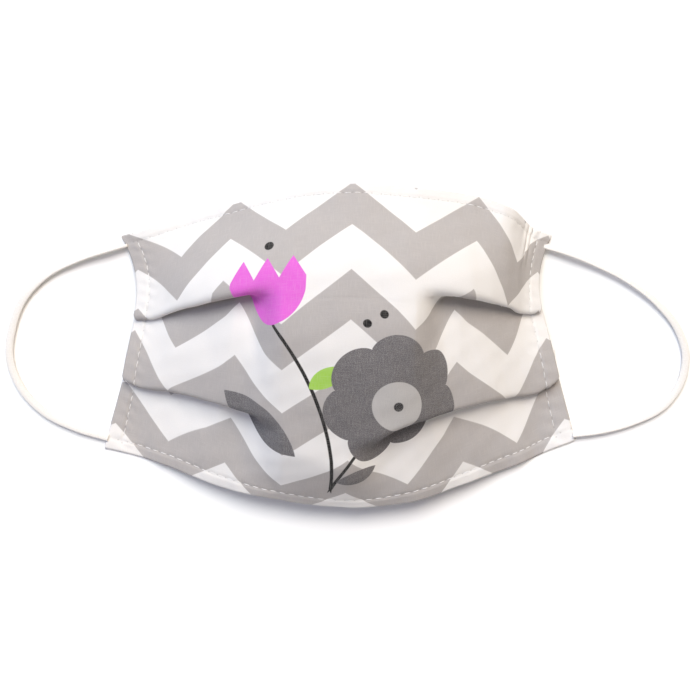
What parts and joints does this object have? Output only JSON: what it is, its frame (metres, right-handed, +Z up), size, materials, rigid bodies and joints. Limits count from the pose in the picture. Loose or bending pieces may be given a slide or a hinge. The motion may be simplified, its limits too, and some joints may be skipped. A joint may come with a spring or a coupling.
{
  "type": "cloth face mask",
  "caption": "Pleated cloth face mask with a domed front and soft elastic ear loops, lying front side up.",
  "frame": {"origin": "centre of the cloth body's box in X and Y, on the table that it lies on", "axes": "+X to the right end as seen from the front, +Y to the nose edge, +Z up, out of the front of the mask"},
  "size_m": [0.2875, 0.1308, 0.0435],
  "materials": {
    "printed_cotton": "matte printed plain weave",
    "soft_elastic": "matte ribbed knit"
  },
  "bodies": {
    "root": {"mask_cloth": "printed_cotton", "ear_loop_left": "soft_elastic", "ear_loop_right": "soft_elastic"}
  },
  "joints": []
}
